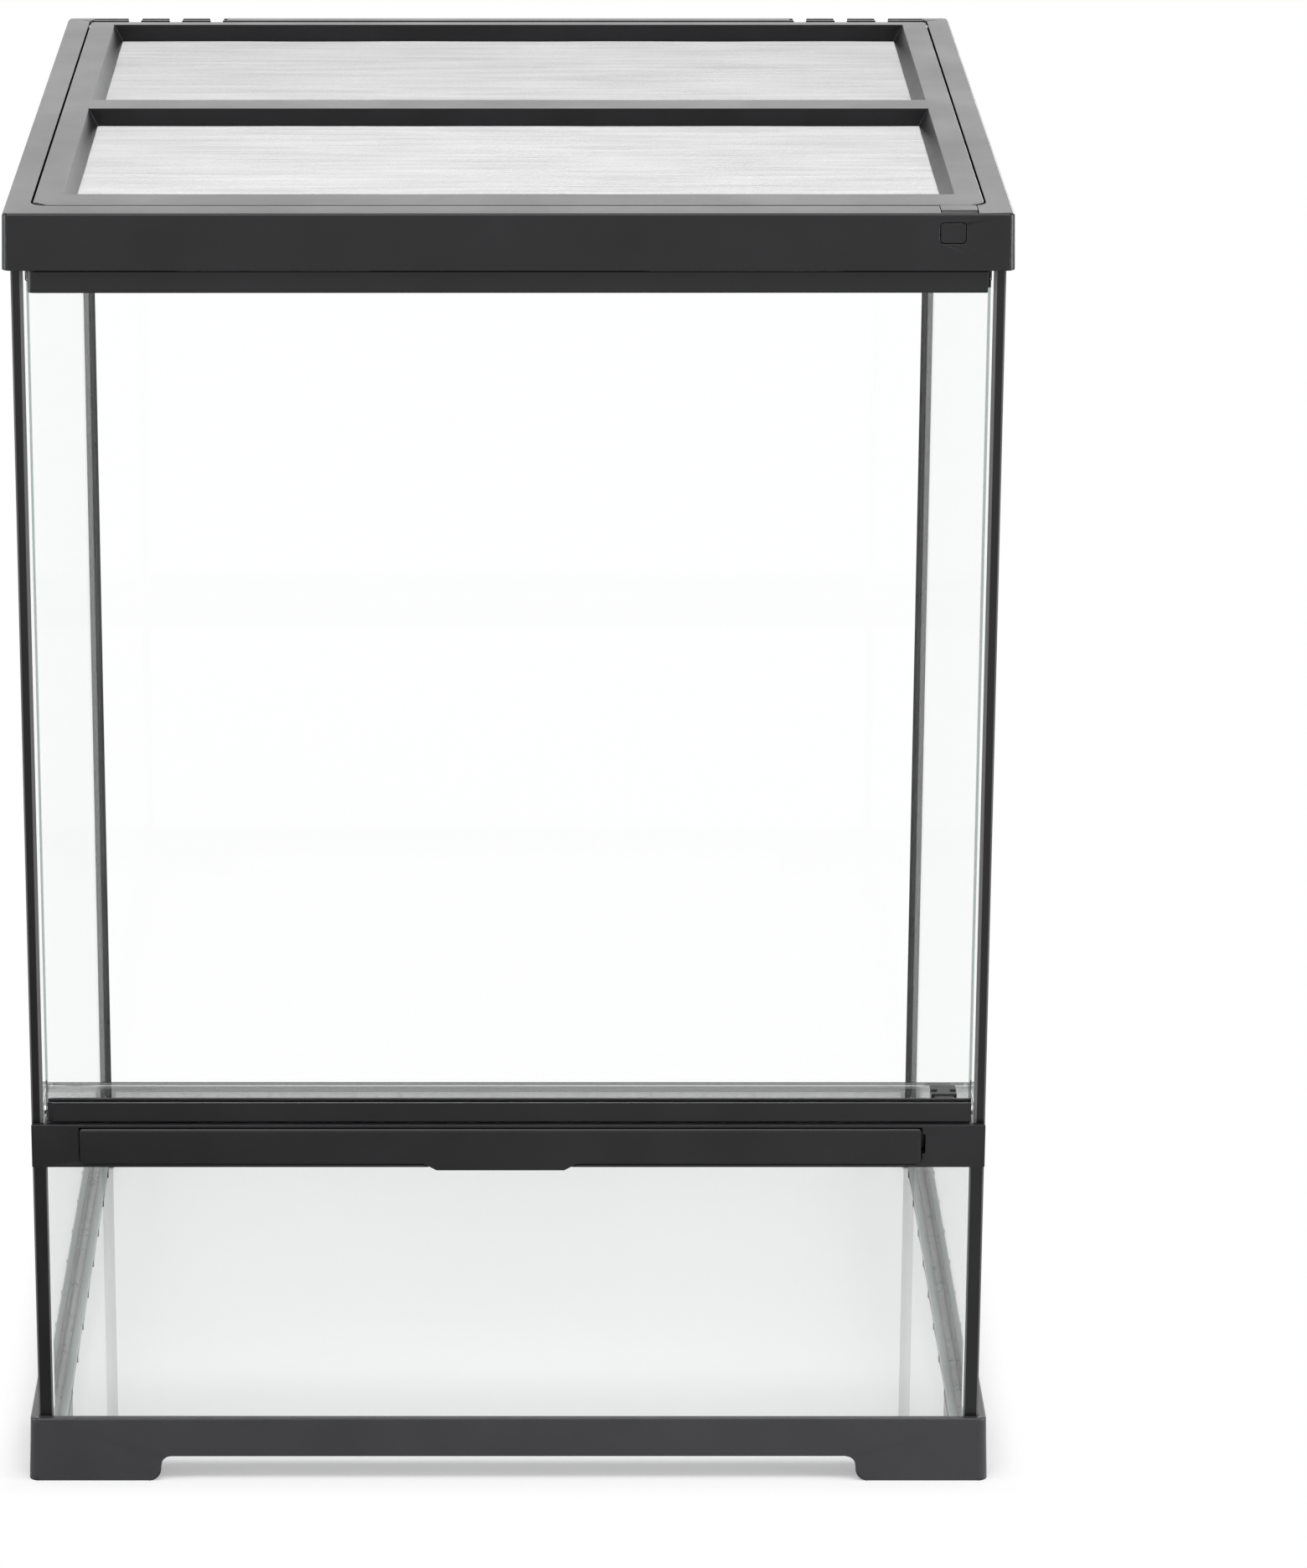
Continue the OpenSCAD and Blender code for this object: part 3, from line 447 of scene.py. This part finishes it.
def new_piece(name, bm, material):
    """An object made of bm's faces. bm is freed."""
    mesh = bpy.data.meshes.new(name)
    bm.to_mesh(mesh)
    bm.free()
    mesh.materials.append(material)
    piece = bpy.data.objects.new(name, mesh)
    bpy.context.scene.collection.objects.link(piece)
    return piece


def dress(nodes, material):
    """Gives CAD nodes their material."""
    for name in nodes:
        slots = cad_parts[name].data.materials
        slots.clear()
        slots.append(material)


def sharp_edge_weights(shortest):
    """Geometry nodes that mark sharp edges for the bevel, but not the steps of tight curves."""
    tree = bpy.data.node_groups.new("sharp_edges", "GeometryNodeTree")
    for way in ("INPUT", "OUTPUT"):
        tree.interface.new_socket("Geometry", in_out=way, socket_type="NodeSocketGeometry")
    source = node(tree, "NodeGroupInput").outputs[0]
    angle = node(tree, "GeometryNodeInputMeshEdgeAngle").outputs["Unsigned Angle"]
    sharp = add(tree, "Math", {0: angle, 1: EDGE_ANGLE}, operation="GREATER_THAN")
    ends = node(tree, "GeometryNodeInputMeshEdgeVertices").outputs
    span = add(tree, "VectorMath", {0: ends["Position 1"], 1: ends["Position 2"]},
               operation="DISTANCE").outputs["Value"]
    long = add(tree, "Math", {0: span, 1: shortest}, operation="GREATER_THAN")
    store = node(tree, "GeometryNodeStoreNamedAttribute", {
        "Geometry": source, "Name": "bevel_weight_edge",
        "Value": both(tree, sharp.outputs[0], long.outputs[0]),
    }, data_type="FLOAT", domain="EDGE")
    node(tree, "NodeGroupOutput", {0: store.outputs[0]})
    return tree


def soften(nodes, radius, shortest=SHORT_EDGE, segments=2):
    """Rounds CAD nodes' sharp edges a little, so that they catch the light as a moulding's do."""
    weights = sharp_edge_weights(shortest)
    for name in nodes:
        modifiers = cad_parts[name].modifiers
        modifiers.new("weld", "WELD").merge_threshold = WELD_GAP
        modifiers.new("edges", "NODES").node_group = weights
        bevel = modifiers.new("bevel", "BEVEL")
        bevel.width = radius
        bevel.segments = segments
        bevel.limit_method = "WEIGHT"
        bevel.use_clamp_overlap = False
        if segments > 1:
            modifiers.new("shade", "WEIGHTED_NORMAL").weight = 100


def wire_rings(bm, points):
    """Sweeps a square wire along points, and closes its ends."""
    along = (points[-1] - points[0]).normalized()
    up = Vector((0, 0, 1))
    side = along.cross(up)
    corners = (side, up, -side, -up)
    rings = [[bm.verts.new(point + WIRE_R * corner) for corner in corners] for point in points]
    for first, second in zip(rings, rings[1:]):
        for i in range(4):
            bm.faces.new((first[i], first[i - 1], second[i - 1], second[i]))
    bm.faces.new(rings[0])
    bm.faces.new(reversed(rings[-1]))


def sheet_sag(point):
    """How far the mesh lies above or below its plane at a point."""
    waves = [math.sin(point[i] * turn + start) for i, (turn, start) in enumerate(SAG_WAVES)]
    return SHEET_SAG * waves[0] * waves[1]


def wire_layer(bm, rng, low, high, axis, layer):
    """Parallel wires along an axis. layer is their height over the middle of the box."""
    other = 1 - axis
    middle = (low + high) / 2
    count = int((high[other] - low[other] - 2 * WIRE_R) / WIRE_PITCH)
    steps = max(4, round((high[axis] - low[axis]) / WIRE_SPAN))
    for i in range(count + 1):
        across = middle[other] + (i - count / 2) * WIRE_PITCH
        points = []
        for k in range(steps + 1):
            point = Vector((0, 0, middle.z + layer))
            point[axis] = low[axis] + (high[axis] - low[axis]) * k / steps
            point[other] = across + rng.uniform(-1, 1) * WIRE_WANDER
            point.z += sheet_sag(point)
            points.append(point)
        wire_rings(bm, points)


def wire_screen(name, mesh_node, material):
    """Two layers of crossed wires in place of a CAD mesh, with a real weave's slight wander."""
    low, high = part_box(mesh_node)
    rng = random.Random(name)
    bm = bmesh.new()
    wire_layer(bm, rng, low, high, 0, LAYER_GAP)
    wire_layer(bm, rng, low, high, 1, -LAYER_GAP)
    screen = new_piece(name, bm, material)
    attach(screen, "lid")
    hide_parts(mesh_node)


# ---------------------------------------------------------------- assembly

make_camera()
make_world()
for lamp in LAMPS:
    softbox(*lamp)
make_floor()

plastic = moulded_plastic("black_plastic", black(0.008), black(0.012), 0.25)
# Painted light: the base frame's black plastic is four times paler than the rest, for the brighter
# front that light from the floor gives it
base_painted_light_plastic = moulded_plastic("base_painted_light_plastic", black(0.032), black(0.039), 0.25, ledge_banded=True)
smooth_plastic = moulded_plastic("latch_plastic", black(0.008), black(0.012), 0.15)
side_glass = float_glass("side_glass", SIDE_IOR)
front_glass = float_glass("front_glass", FRONT_IOR)
pane_glass = float_glass("door_pane_glass", FRONT_IOR, ends=DOOR_GROUND)
# the front strips' sealant, with painted highlights along its edges
edge_silicone = silicone("edge_silicone", 0.004, edge_highlights=True)
corner_silicone = silicone("corner_silicone", 0.02, wave_height=0.12)
floor_silicone = silicone("floor_silicone", 0.16, wave_scale=300, wave_height=0.06)

dress(["base_frame"], base_painted_light_plastic)
dress(["front_bar", "top_frame", "lid_frame", "front_mesh_retainer", "rear_mesh_retainer",
       "left_port_slider", "right_port_slider", "door_catch"], plastic)
dress(["latch_flap", "door_top_rail", "door_bottom_rail", "door_striker", "lid_hasp",
       "lid_lock_button"], smooth_plastic)
dress(["floor_glass", "left_glass", "right_glass", "glass_ledge"], side_glass)
dress(["back_glass", "lower_front_glass"], front_glass)
dress(["door_glass"], pane_glass)
dress(["left_front_bead", "right_front_bead"], edge_silicone)
dress(["left_back_bead", "right_back_bead"], corner_silicone)
dress(["floor_beads"], floor_silicone)
dress(["door_hinge_pins", "lid_hinge_pins"], turned_steel("pin_steel"))

soften(["front_bar", "latch_flap", "door_top_rail", "door_bottom_rail"], BOLD_ROUND, LONG_EDGE)
soften(["top_frame", "door_striker", "door_catch", "lid_hasp", "lid_lock_button",
        "left_port_slider", "right_port_slider", "front_mesh_retainer",
        "rear_mesh_retainer"], FINE_ROUND)
soften(["base_frame", "lid_frame"], FINE_ROUND, LONG_EDGE)
soften(["floor_glass", "back_glass", "left_glass", "right_glass", "lower_front_glass",
        "glass_ledge", "door_glass"], PANE_CHAMFER, segments=1)

wire = drawn_wire("screen_wire")
wire_screen("front_screen", "front_mesh", wire)
wire_screen("rear_screen", "rear_mesh", wire)

bpy.context.scene.view_settings.view_transform = "Standard"
